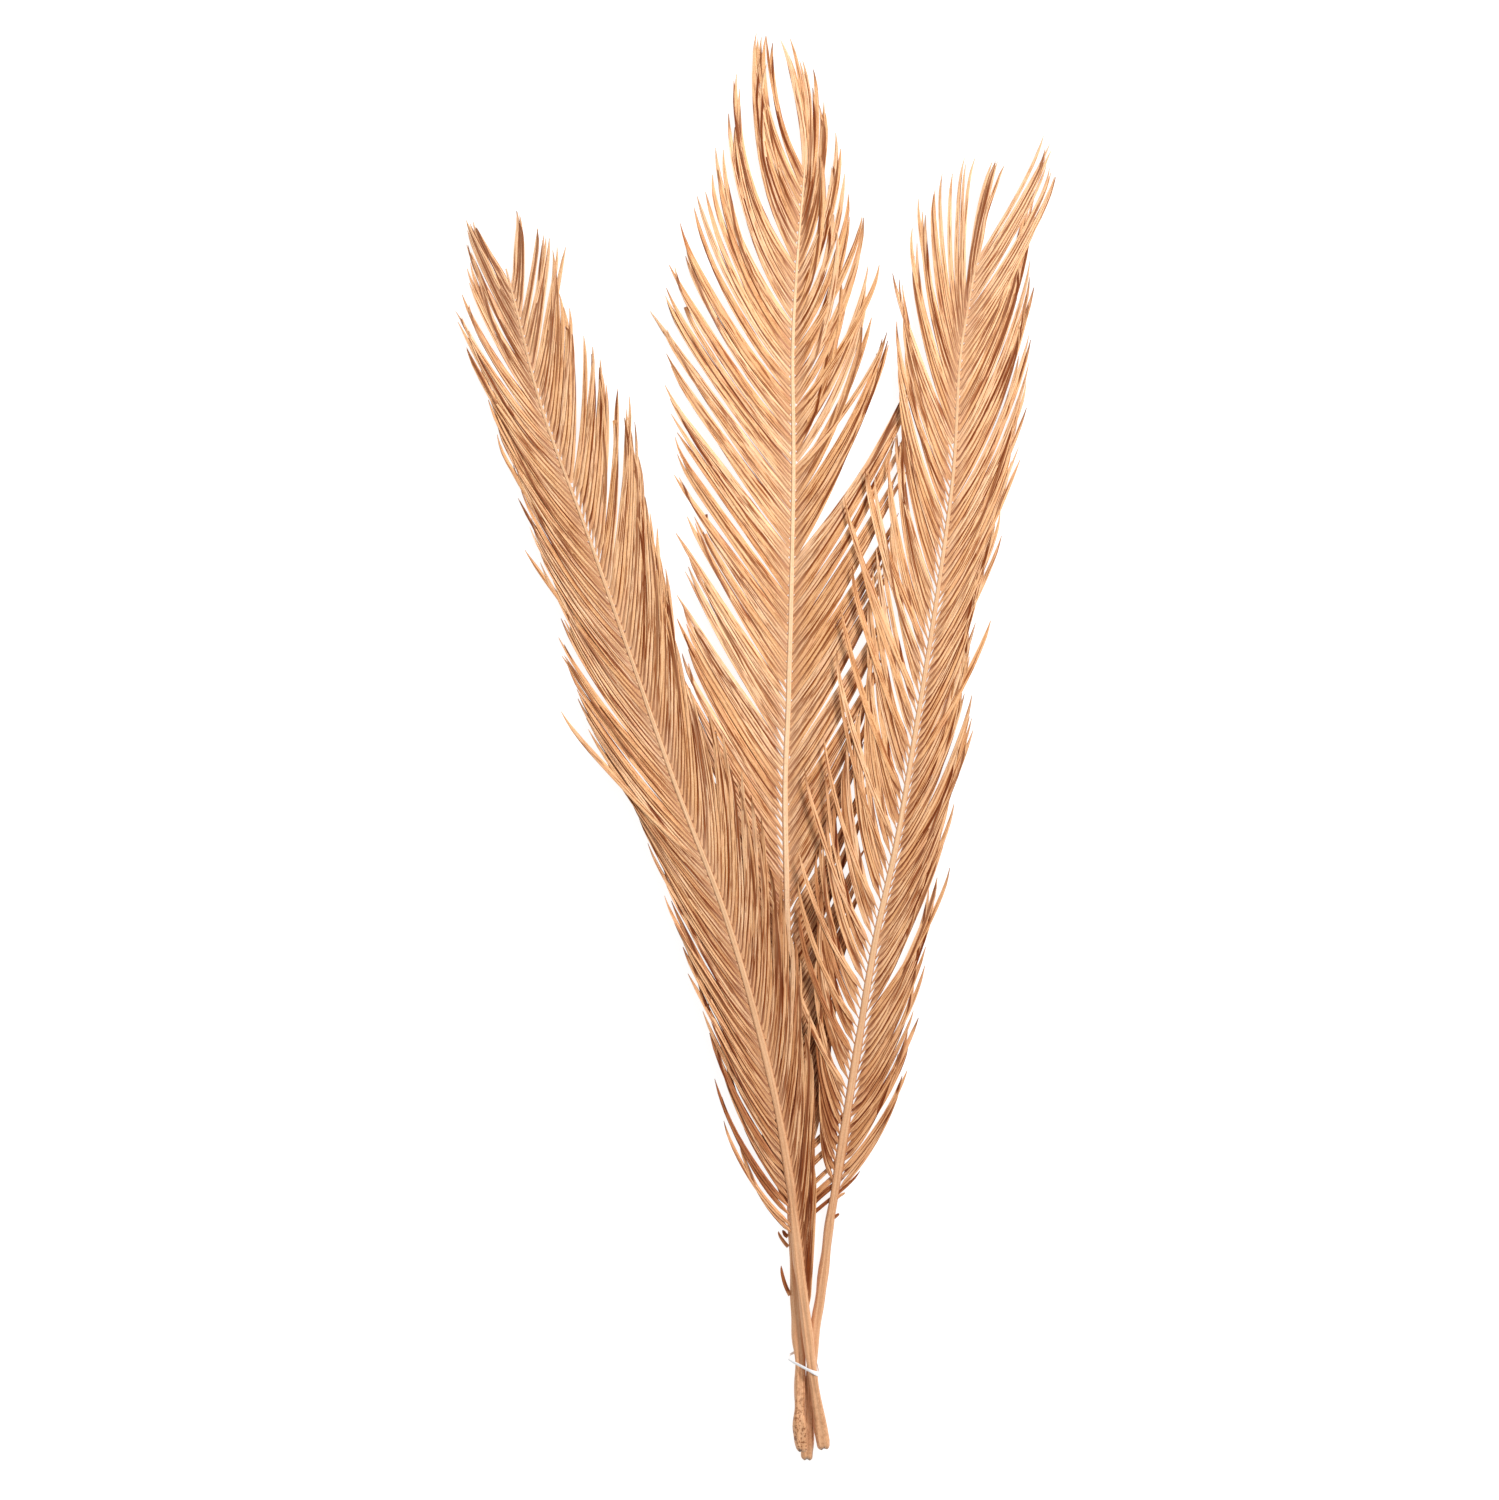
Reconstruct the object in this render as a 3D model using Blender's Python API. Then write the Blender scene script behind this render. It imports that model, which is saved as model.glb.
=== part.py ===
"""Three dried feather-shaped palm fronds lying flat in a fan, held by one white band near their cut ends.

Metres, +Z up. The stems grow towards +Y. Each frond is a tapering stem (leaf stalk and midrib) and two rows of
narrow leaflets, one row on each flank. A row is one solid: its leaflets are joined by the thin strip along which
they grow out of the midrib. The middle frond lies lowest, the right one above it, and the left one on top.
"""
import math

import bmesh
import bpy
import numpy as np
from mathutils import Vector

MM = 0.001

# ---------------------------------------------------------------- driving dimensions
# Stem routes from the cut end to the tip: x, y, height of the centre, radius, all in millimetres.
STEM_ROUTES = {
    "left": (
        (52.1, -489, 9.4, 4.7), (47.6, -459, 12.9, 4.3), (43.5, -431, 14.2, 3.9), (37.0, -380, 13.8, 3.9),
        (29.0, -308, 14.2, 3.8), (20.0, -255, 15.6, 3.5), (7.3, -198, 17.0, 3.0), (-17.0, -115, 17.5, 2.4),
        (-51.5, -25, 16.8, 2.0), (-86.5, 75, 14.5, 1.7), (-115.0, 156, 12.0, 1.4), (-145.0, 238, 9.5, 1.1),
        (-163.0, 308, 7.5, 0.9), (-170.5, 337, 6.5, 0.6),
    ),
    "middle": (
        (36.1, -490, 14.4, 4.6), (34.6, -459, 10.6, 4.2), (33.4, -431, 6.6, 3.9), (29.0, -343, 4.9, 3.6),
        (27.5, -210, 5.0, 3.1), (26.0, -97, 5.4, 2.6), (25.0, -27, 5.6, 2.3), (27.5, 42, 5.8, 2.1),
        (30.8, 187, 6.0, 1.7), (30.2, 275, 5.8, 1.4), (32.4, 326, 5.4, 1.1), (35.0, 363, 5.0, 0.9),
        (38.3, 402, 4.6, 0.7), (39.8, 420, 4.4, 0.6),
    ),
    "right": (
        (40.3, -497, 5.0, 4.8), (43.8, -431, 5.8, 3.9), (50.0, -378, 6.0, 3.6), (60.0, -306, 8.4, 3.2),
        (73.0, -225, 11.4, 2.8), (87.2, -137, 12.8, 2.4), (102.6, -66, 13.2, 2.1), (115.2, 7, 13.0, 1.9),
        (132.0, 113, 12.0, 1.6), (142.5, 193, 10.5, 1.4), (147.0, 269, 8.5, 1.1), (153.6, 313, 7.2, 0.9),
        (158.6, 339, 6.4, 0.7), (162.6, 357, 6.0, 0.6),
    ),
}
CURVE_STEPS = 24
HEADING_REACH = 6 * MM
STEM_RINGS = 44
STEM_BEVEL_RESOLUTION = 2

# Leaflet rows. "first" is the distance of the lowest leaflet from the cut end, in metres, and "count" how many
# there are. The profiles give, at shares of the leafy stretch, the angle to the stem at the leaflet's base and at
# its tip (degrees) and its length (millimetres). "rise" and "droop" shape its height away from the stem. A split
# is a place where the row parts: where along it, how many degrees it opens, and over what share of the row.
LEFT, RIGHT = 1, -1
LEAFLET_ROWS = {
    ("left", LEFT): dict(
        first=0.140, count=110, rise=0.02, droop=4.0,
        base=((0, 31), (0.1, 25), (0.3, 22), (0.8, 25), (1, 14)),
        tip=((0, 14), (0.3, 12), (0.6, 11), (0.8, 6), (0.9, 9), (1, 12)),
        length=((0, 85), (0.1, 112), (0.2, 128), (0.3, 146), (0.45, 134), (0.65, 134), (0.78, 130), (0.85, 115),
                (0.92, 92), (1, 66)),
        splits=((0.02, 8, 0.02), (0.42, 5, 0.02), (0.835, 5, 0.02)),
    ),
    ("left", RIGHT): dict(
        first=0.095, count=117, rise=0.04, droop=0.8,
        base=((0, 12), (0.1, 15), (0.2, 21), (0.5, 23), (0.8, 29), (1, 24)),
        tip=((0, 7), (0.4, 9), (0.5, 11), (0.7, 20), (0.9, 22), (1, 16)),
        length=((0, 95), (0.1, 122), (0.3, 135), (0.5, 135), (0.6, 140), (0.67, 146), (0.73, 125), (0.8, 110),
                (0.9, 102), (1, 62)),
        splits=((0.8, 8, 0.02), (0.915, 8, 0.02)),
    ),
    ("middle", LEFT): dict(
        first=0.150, count=112, rise=0.10, droop=1.5,
        base=((0, 24), (0.2, 34), (0.5, 36), (0.8, 42), (0.9, 30), (1, 26)),
        tip=((0, 5), (0.2, 21), (0.4, 28), (0.6, 35), (0.7, 34), (0.8, 20), (0.9, 12), (1, 18)),
        length=((0, 60), (0.15, 105), (0.4, 138), (0.47, 138), (0.52, 128), (0.6, 142), (0.7, 158), (0.76, 146),
                (0.82, 134), (0.92, 132), (1, 88)),
        splits=((0.505, 7, 0.02), (0.645, 6, 0.02), (0.855, 7, 0.02)),
    ),
    ("middle", RIGHT): dict(
        first=0.150, count=112, rise=0.10, droop=1.5,
        base=((0, 23), (0.2, 31), (0.6, 32), (0.7, 36), (0.8, 35), (0.9, 21), (1, 5)),
        tip=((0, 8), (0.2, 23), (0.4, 28), (0.6, 26), (0.8, 15), (0.9, -6), (1, -14)),
        length=((0, 60), (0.15, 105), (0.4, 130), (0.55, 146), (0.64, 158), (0.68, 130), (0.73, 124), (0.82, 126),
                (0.92, 122), (1, 85)),
        splits=((0.3, 8, 0.02), (0.635, 14, 0.03), (0.695, 8, 0.02), (0.805, 8, 0.02)),
    ),
    ("right", LEFT): dict(
        first=0.160, count=108, rise=0.06, droop=1.0,
        base=((0, 26), (0.2, 32), (0.4, 25), (0.5, 26), (0.75, 32), (0.9, 20), (1, 9)),
        tip=((0, 10), (0.2, 16), (0.4, 14), (0.5, 16), (0.63, 14), (0.7, 17), (0.8, 14), (0.9, 3), (1, 4)),
        length=((0, 60), (0.1, 110), (0.3, 132), (0.57, 130), (0.65, 122), (0.77, 130), (0.87, 130), (0.93, 118),
                (1, 84)),
        splits=((0.405, 5, 0.02), (0.64, 5, 0.03), (0.945, 8, 0.02)),
    ),
    ("right", RIGHT): dict(
        first=0.175, count=108, rise=0.02, droop=3.0,
        base=((0, 27), (0.15, 20), (0.4, 19), (0.7, 27), (0.8, 27), (1, 19)),
        tip=((0, 18), (0.15, 12), (0.4, 7), (0.6, 10), (0.8, 12), (1, 8)),
        length=((0, 80), (0.1, 95), (0.17, 125), (0.32, 128), (0.45, 115), (0.52, 112), (0.6, 130), (0.75, 136),
                (0.83, 138), (0.9, 124), (1, 98)),
        splits=((0.02, 7, 0.02), (0.2, 5, 0.02)),
    ),
}
ROW_END_SHARE = 0.985
CLEARANCE = 0.5 * MM
STRIP_WIDTH = 1.8 * MM
STRIP_THICKNESS = 1.2 * MM
KEEL_DEPTH = 0.8 * MM
BLADE_SHARE_OF_SPACING = 0.72
BEND_AT = 0.46
STAGGER = 1.1 * MM
BASE_CURL = 1.3
PATH_STEPS = 12

# The band that ties the stems.
TIE_AT_Y = -0.4325
TIE_SLOPE = -0.45
TIE_WIDTH = 3.0 * MM
TIE_THICKNESS = 0.7 * MM
TIE_CLEARANCE = 0.6 * MM
TIE_POINTS = 32

# Colours are linear RGB.
LEAFLET_ROUGHNESS = 0.45
STEM_ROUGHNESS = 0.5
TIE_ROUGHNESS = 0.6
PAINT_METALLIC = 0.12
LEAFLET_COLOURS = {"left": (0.76, 0.41, 0.20), "middle": (0.74, 0.40, 0.21), "right": (0.80, 0.46, 0.25)}
STEM_COLOUR = (0.82, 0.53, 0.31)
TIE_COLOUR = (0.86, 0.86, 0.85)


# ---------------------------------------------------------------- helpers
def clear_scene():
    for obj in list(bpy.data.objects):
        bpy.data.objects.remove(obj, do_unlink=True)


def material(name, colour, roughness, metallic=0.0):
    made = bpy.data.materials.new(name)
    made.use_nodes = True
    shader = made.node_tree.nodes["Principled BSDF"]
    shader.inputs["Base Color"].default_value = (*colour, 1.0)
    shader.inputs["Roughness"].default_value = roughness
    shader.inputs["Metallic"].default_value = metallic
    return made


def add_object(name, data, finish, parent):
    data.materials.append(finish)
    made = bpy.data.objects.new(name, data)
    made.parent = parent
    bpy.context.collection.objects.link(made)
    return made


def smooth_curve(rows):
    """Points on the Catmull-Rom curve through the rows, and the distance run to each."""
    rows = np.array(rows, float)
    rows = np.vstack([2 * rows[0] - rows[1], rows, 2 * rows[-1] - rows[-2]])
    found = []
    for before, start, end, after in zip(rows, rows[1:], rows[2:], rows[3:]):
        for u in np.linspace(0, 1, CURVE_STEPS, endpoint=False):
            found.append(0.5 * (2 * start + (end - before) * u
                                + (2 * before - 5 * start + 4 * end - after) * u ** 2
                                + (3 * start - before - 3 * end + after) * u ** 3))
    found.append(rows[-2])
    found = np.array(found)
    run = np.concatenate([[0], np.cumsum(np.linalg.norm(np.diff(found[:, :3], axis=0), axis=1))])
    return run, found


class Stem:
    """A frond's stem: where its centre, direction and radius are at a distance from the cut end."""

    def __init__(self, rows):
        self.run, self.curve = smooth_curve(np.array(rows) * MM)
        self.length = self.run[-1]

    def at(self, distance):
        distance = min(distance, self.length)
        return np.array([np.interp(distance, self.run, self.curve[:, k]) for k in range(3)])

    def radius(self, distance):
        return float(np.interp(distance, self.run, self.curve[:, 3]))

    def heading(self, distance):
        """The level direction in which the stem grows there."""
        way = (self.at(distance + HEADING_REACH) - self.at(max(distance - HEADING_REACH, 0)))[:2]
        return way / np.linalg.norm(way)


def profile(pairs, share):
    shares, values = zip(*pairs)
    return float(np.interp(share, shares, values))


# ---------------------------------------------------------------- stems
def add_stem(frond, stem, parent):
    """The stalk and midrib: a round tube that tapers to the tip, with closed ends."""
    thickest = max(row[3] for row in STEM_ROUTES[frond]) * MM
    curve = bpy.data.curves.new(f"{frond}_frond_stem", "CURVE")
    curve.dimensions = "3D"
    curve.bevel_depth = thickest
    curve.bevel_resolution = STEM_BEVEL_RESOLUTION
    curve.use_fill_caps = True
    spline = curve.splines.new("POLY")
    spline.points.add(STEM_RINGS - 1)
    for point, distance in zip(spline.points, np.linspace(0, stem.length, STEM_RINGS)):
        point.co = (*stem.at(distance), 1.0)
        point.radius = stem.radius(distance) / thickest
    spline.use_smooth = True
    finish = material(f"{frond}_stem_copper", STEM_COLOUR, STEM_ROUGHNESS, PAINT_METALLIC)
    return add_object(f"{frond}_frond_stem", curve, finish, parent)


# ---------------------------------------------------------------- leaflets
def leaflet_angles(row, share):
    """The angles to the stem at a leaflet's base and tip, in degrees, with the splits in the row."""
    base = profile(row["base"], share)
    tip = profile(row["tip"], share)
    for place, opening, reach in row["splits"]:
        turn = math.copysign(0.5 * opening, place - share) * math.exp(-abs(share - place) / reach)
        base += 0.5 * turn
        tip += turn
    return base, tip


def leaflet_path(stem, row, side, distance, share, lift):
    """Points along a leaflet's ridge, from the strip to the tip."""
    base, tip = leaflet_angles(row, share)
    length = profile(row["length"], share) * MM
    heading = stem.heading(distance)
    outward = side * np.array([-heading[1], heading[0]])
    out_start = stem.radius(distance) + CLEARANCE + STRIP_WIDTH
    forward, out, points = 0.0, out_start, []
    start = stem.at(distance)
    for step in range(PATH_STEPS + 1):
        q = step / PATH_STEPS
        level = start[:2] + forward * heading + out * outward
        spread = out - out_start
        height = stem.at(distance + forward)[2] + row["rise"] * spread - row["droop"] * spread ** 2 + lift * q
        points.append((*level, height))
        angle = math.radians(tip + (base - tip) * (1 - q) ** BASE_CURL)
        forward += length / PATH_STEPS * math.cos(angle)
        out += length / PATH_STEPS * math.sin(angle)
    return np.array(points)


def point_at(path, share):
    place = share * (len(path) - 1)
    return np.array([np.interp(place, range(len(path)), path[:, k]) for k in range(3)])


def nearest_gap(point, path):
    """The level distance from a point to a path."""
    starts, ends = path[:-1, :2], path[1:, :2]
    run = ends - starts
    share = np.clip(((point[:2] - starts) * run).sum(axis=1) / (run ** 2).sum(axis=1), 0, 1)
    return float(np.linalg.norm(starts + share[:, None] * run - point[:2], axis=1).min())


def strip_point(stem, side, distance, out, height):
    heading = stem.heading(distance)
    outward = side * np.array([-heading[1], heading[0]])
    centre = stem.at(distance)
    return (*(centre[:2] + (stem.radius(distance) + CLEARANCE + out) * outward), centre[2] + height)


def add_leaflet_row(frond, side, stem, parent):
    """One row of leaflets as a single closed comb: a strip along the stem with a tapering keeled blade at each
    place. Each blade has a flat upper side, a keel below and one bend, and ends in a point."""
    row = LEAFLET_ROWS[frond, side]
    count = row["count"]
    edges = np.linspace(row["first"], stem.length * ROW_END_SHARE, count + 1)
    middles = (edges[1:] + edges[:-1]) / 2
    paths = []
    for i, distance in enumerate(middles):
        paths.append(leaflet_path(stem, row, side, distance, (i + 0.5) / count, (i % 3) * STAGGER))

    mesh = bmesh.new()
    inner_top = [mesh.verts.new(strip_point(stem, side, d, 0, STRIP_THICKNESS / 2)) for d in edges]
    inner_low = [mesh.verts.new(strip_point(stem, side, d, 0, -STRIP_THICKNESS / 2)) for d in edges]
    outer = [mesh.verts.new(strip_point(stem, side, d, STRIP_WIDTH, 0)) for d in edges]
    keels = [mesh.verts.new(strip_point(stem, side, d, STRIP_WIDTH, -KEEL_DEPTH)) for d in middles]
    mesh.faces.new((inner_top[0], inner_low[0], outer[0]))
    mesh.faces.new((inner_top[-1], inner_low[-1], outer[-1]))
    for i, path in enumerate(paths):
        bend, tip = point_at(path, BEND_AT), path[-1]
        spacing = min(nearest_gap(bend, paths[k]) for k in (i - 1, i + 1) if 0 <= k < count)
        along = path[-1][:2] - path[len(path) // 2][:2]
        across = side * np.array([-along[1], along[0]]) / np.linalg.norm(along)
        half = BLADE_SHARE_OF_SPACING * spacing / 2
        far = mesh.verts.new((*(bend[:2] + half * across), bend[2]))
        near = mesh.verts.new((*(bend[:2] - half * across), bend[2]))
        keel = mesh.verts.new((*bend[:2], bend[2] - KEEL_DEPTH))
        point = mesh.verts.new(tip)
        low, high = outer[i], outer[i + 1]
        # the strip
        mesh.faces.new((inner_top[i], inner_top[i + 1], high, low))
        mesh.faces.new((inner_top[i], inner_low[i], inner_low[i + 1], inner_top[i + 1]))
        mesh.faces.new((inner_low[i], low, keels[i]))
        mesh.faces.new((inner_low[i], keels[i], inner_low[i + 1]))
        mesh.faces.new((inner_low[i + 1], keels[i], high))
        # the blade, from the strip to the bend and on to the tip
        mesh.faces.new((low, high, near, far))
        mesh.faces.new((low, far, keel, keels[i]))
        mesh.faces.new((high, keels[i], keel, near))
        mesh.faces.new((far, near, point))
        mesh.faces.new((far, point, keel))
        mesh.faces.new((near, keel, point))
    bmesh.ops.triangulate(mesh, faces=mesh.faces)
    bmesh.ops.recalc_face_normals(mesh, faces=mesh.faces)

    name = f"{frond}_frond_leaflets_{'left' if side == LEFT else 'right'}"
    data = bpy.data.meshes.new(name)
    mesh.to_mesh(data)
    mesh.free()
    finish = material(f"{name}_copper", LEAFLET_COLOURS[frond], LEAFLET_ROUGHNESS, PAINT_METALLIC)
    return add_object(name, data, finish, parent)


# ---------------------------------------------------------------- the tie
def stem_at_y(stem, y):
    """The stem's centre and radius where it passes a place along Y."""
    distance = float(np.interp(y, stem.curve[:, 1], stem.run))
    return stem.at(distance), stem.radius(distance)


def add_tie(stems, parent):
    """A flat band pulled tight around the three stems, its plane tilted across them."""
    level = [stem_at_y(stem, TIE_AT_Y)[0][0] for stem in stems.values()]
    middle_x = sum(level) / len(level)
    found = [stem_at_y(stem, TIE_AT_Y + TIE_SLOPE * (x - middle_x)) for stem, x in zip(stems.values(), level)]
    mesh = bmesh.new()
    rings = []
    for angle in np.linspace(0, 2 * math.pi, TIE_POINTS, endpoint=False):
        way = np.array([math.cos(angle), math.sin(angle)])
        centre, radius = max(found, key=lambda held: held[0][[0, 2]] @ way + held[1])
        ring = []
        for out, along in ((0, -1), (1, -1), (1, 1), (0, 1)):
            x, z = centre[[0, 2]] + (radius + TIE_CLEARANCE + out * TIE_THICKNESS) * way
            y = TIE_AT_Y + TIE_SLOPE * (x - middle_x) + along * TIE_WIDTH / 2
            ring.append(mesh.verts.new((x, y, z)))
        rings.append(ring)
    for ring, following in zip(rings, rings[1:] + rings[:1]):
        for k in range(4):
            mesh.faces.new((ring[k], ring[(k + 1) % 4], following[(k + 1) % 4], following[k]))
    bmesh.ops.recalc_face_normals(mesh, faces=mesh.faces)
    data = bpy.data.meshes.new("tie_band")
    mesh.to_mesh(data)
    mesh.free()
    return add_object("tie_band", data, material("tie_white", TIE_COLOUR, TIE_ROUGHNESS), parent)


# ---------------------------------------------------------------- the whole bunch
def centre_on_floor(pieces, bunch):
    """Moves the bunch so that the middle of its footprint is at the origin and its lowest point at Z 0."""
    bpy.context.view_layer.update()
    graph = bpy.context.evaluated_depsgraph_get()
    corners = []
    for piece in pieces:
        solid = piece.evaluated_get(graph).to_mesh()
        corners += [piece.matrix_world @ vertex.co for vertex in solid.vertices]
    corners = np.array(corners)
    low, high = corners.min(axis=0), corners.max(axis=0)
    bunch.location = Vector((-(low[0] + high[0]) / 2, -(low[1] + high[1]) / 2, -low[2]))


def main():
    clear_scene()
    bunch = bpy.data.objects.new("frond_bunch", None)
    bpy.context.collection.objects.link(bunch)
    stems = {frond: Stem(rows) for frond, rows in STEM_ROUTES.items()}
    pieces = [add_stem(frond, stem, bunch) for frond, stem in stems.items()]
    pieces += [add_leaflet_row(frond, side, stems[frond], bunch) for frond, side in LEAFLET_ROWS]
    pieces.append(add_tie(stems, bunch))
    centre_on_floor(pieces, bunch)


main()
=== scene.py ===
import math

import bpy
import numpy as np
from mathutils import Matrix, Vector


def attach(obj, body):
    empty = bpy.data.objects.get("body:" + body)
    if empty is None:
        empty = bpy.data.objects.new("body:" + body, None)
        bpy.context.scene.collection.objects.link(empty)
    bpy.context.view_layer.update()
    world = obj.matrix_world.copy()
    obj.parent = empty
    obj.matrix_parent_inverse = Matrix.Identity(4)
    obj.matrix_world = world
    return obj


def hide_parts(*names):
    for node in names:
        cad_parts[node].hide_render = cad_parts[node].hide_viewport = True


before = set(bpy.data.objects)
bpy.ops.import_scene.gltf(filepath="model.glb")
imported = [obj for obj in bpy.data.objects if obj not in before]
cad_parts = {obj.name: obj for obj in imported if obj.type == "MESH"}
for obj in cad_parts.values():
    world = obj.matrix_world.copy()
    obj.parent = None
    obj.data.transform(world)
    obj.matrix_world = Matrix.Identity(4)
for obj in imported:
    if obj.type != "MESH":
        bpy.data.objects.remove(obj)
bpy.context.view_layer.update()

MM = 0.001

# ---------------------------------------------------------------- how the fronds lie
# Stem routes from the cut end to the tip, as in the CAD: x, y, height of the centre, radius, in millimetres.
STEM_ROUTES = {
    "left": (
        (52.1, -489, 9.4, 4.7), (47.6, -459, 12.9, 4.3), (43.5, -431, 14.2, 3.9), (37.0, -380, 13.8, 3.9),
        (29.0, -308, 14.2, 3.8), (20.0, -255, 15.6, 3.5), (7.3, -198, 17.0, 3.0), (-17.0, -115, 17.5, 2.4),
        (-51.5, -25, 16.8, 2.0), (-86.5, 75, 14.5, 1.7), (-115.0, 156, 12.0, 1.4), (-145.0, 238, 9.5, 1.1),
        (-163.0, 308, 7.5, 0.9), (-170.5, 337, 6.5, 0.6),
    ),
    "middle": (
        (36.1, -490, 14.4, 4.6), (34.6, -459, 10.6, 4.2), (33.4, -431, 6.6, 3.9), (29.0, -343, 4.9, 3.6),
        (27.5, -210, 5.0, 3.1), (26.0, -97, 5.4, 2.6), (25.0, -27, 5.6, 2.3), (27.5, 42, 5.8, 2.1),
        (30.8, 187, 6.0, 1.7), (30.2, 275, 5.8, 1.4), (32.4, 326, 5.4, 1.1), (35.0, 363, 5.0, 0.9),
        (38.3, 402, 4.6, 0.7), (39.8, 420, 4.4, 0.6),
    ),
    "right": (
        (40.3, -497, 5.0, 4.8), (43.8, -431, 5.8, 3.9), (50.0, -378, 6.0, 3.6), (60.0, -306, 8.4, 3.2),
        (73.0, -225, 11.4, 2.8), (87.2, -137, 12.8, 2.4), (102.6, -66, 13.2, 2.1), (115.2, 7, 13.0, 1.9),
        (132.0, 113, 12.0, 1.6), (142.5, 193, 10.5, 1.4), (147.0, 269, 8.5, 1.1), (153.6, 313, 7.2, 0.9),
        (158.6, 339, 6.4, 0.7), (162.6, 357, 6.0, 0.6),
    ),
}
# Steps between two points of a route, and how far around a place the stem's heading is measured.
CURVE_STEPS = 24
HEADING_REACH = 6 * MM

# ---------------------------------------------------------------- leaflet rows
# "first" is the distance of the lowest leaflet from the cut end in metres, "rise" how far a leaflet climbs
# for each metre that it reaches out from the stem, "droop" how much it sags with the square of that reach, and
# "width" its width in millimetres. The profiles give, at shares of the leafy stretch, the angle to the stem
# at a leaflet's base and tip (degrees) and its length (mm).
# - A split is a place where the row parts: where, how many degrees it opens, and over what share of the row.
# - Over an "open" stretch (from, to, share) the leaflets' bases narrow to that share of their width, so that
#   light shows between them.
# - The broken leaflets, counted from the stalk, have lost their tips.
# - A stray is a leaflet that leans out: where, by how many degrees, and how many times as long it is.
# - A stub is what is left of a shed leaflet: how far from the cut end in metres, its length (mm) and its
#   angle to the stem. The stubs are the first leaflets of their row.
LEFT, RIGHT = 1, -1
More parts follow.
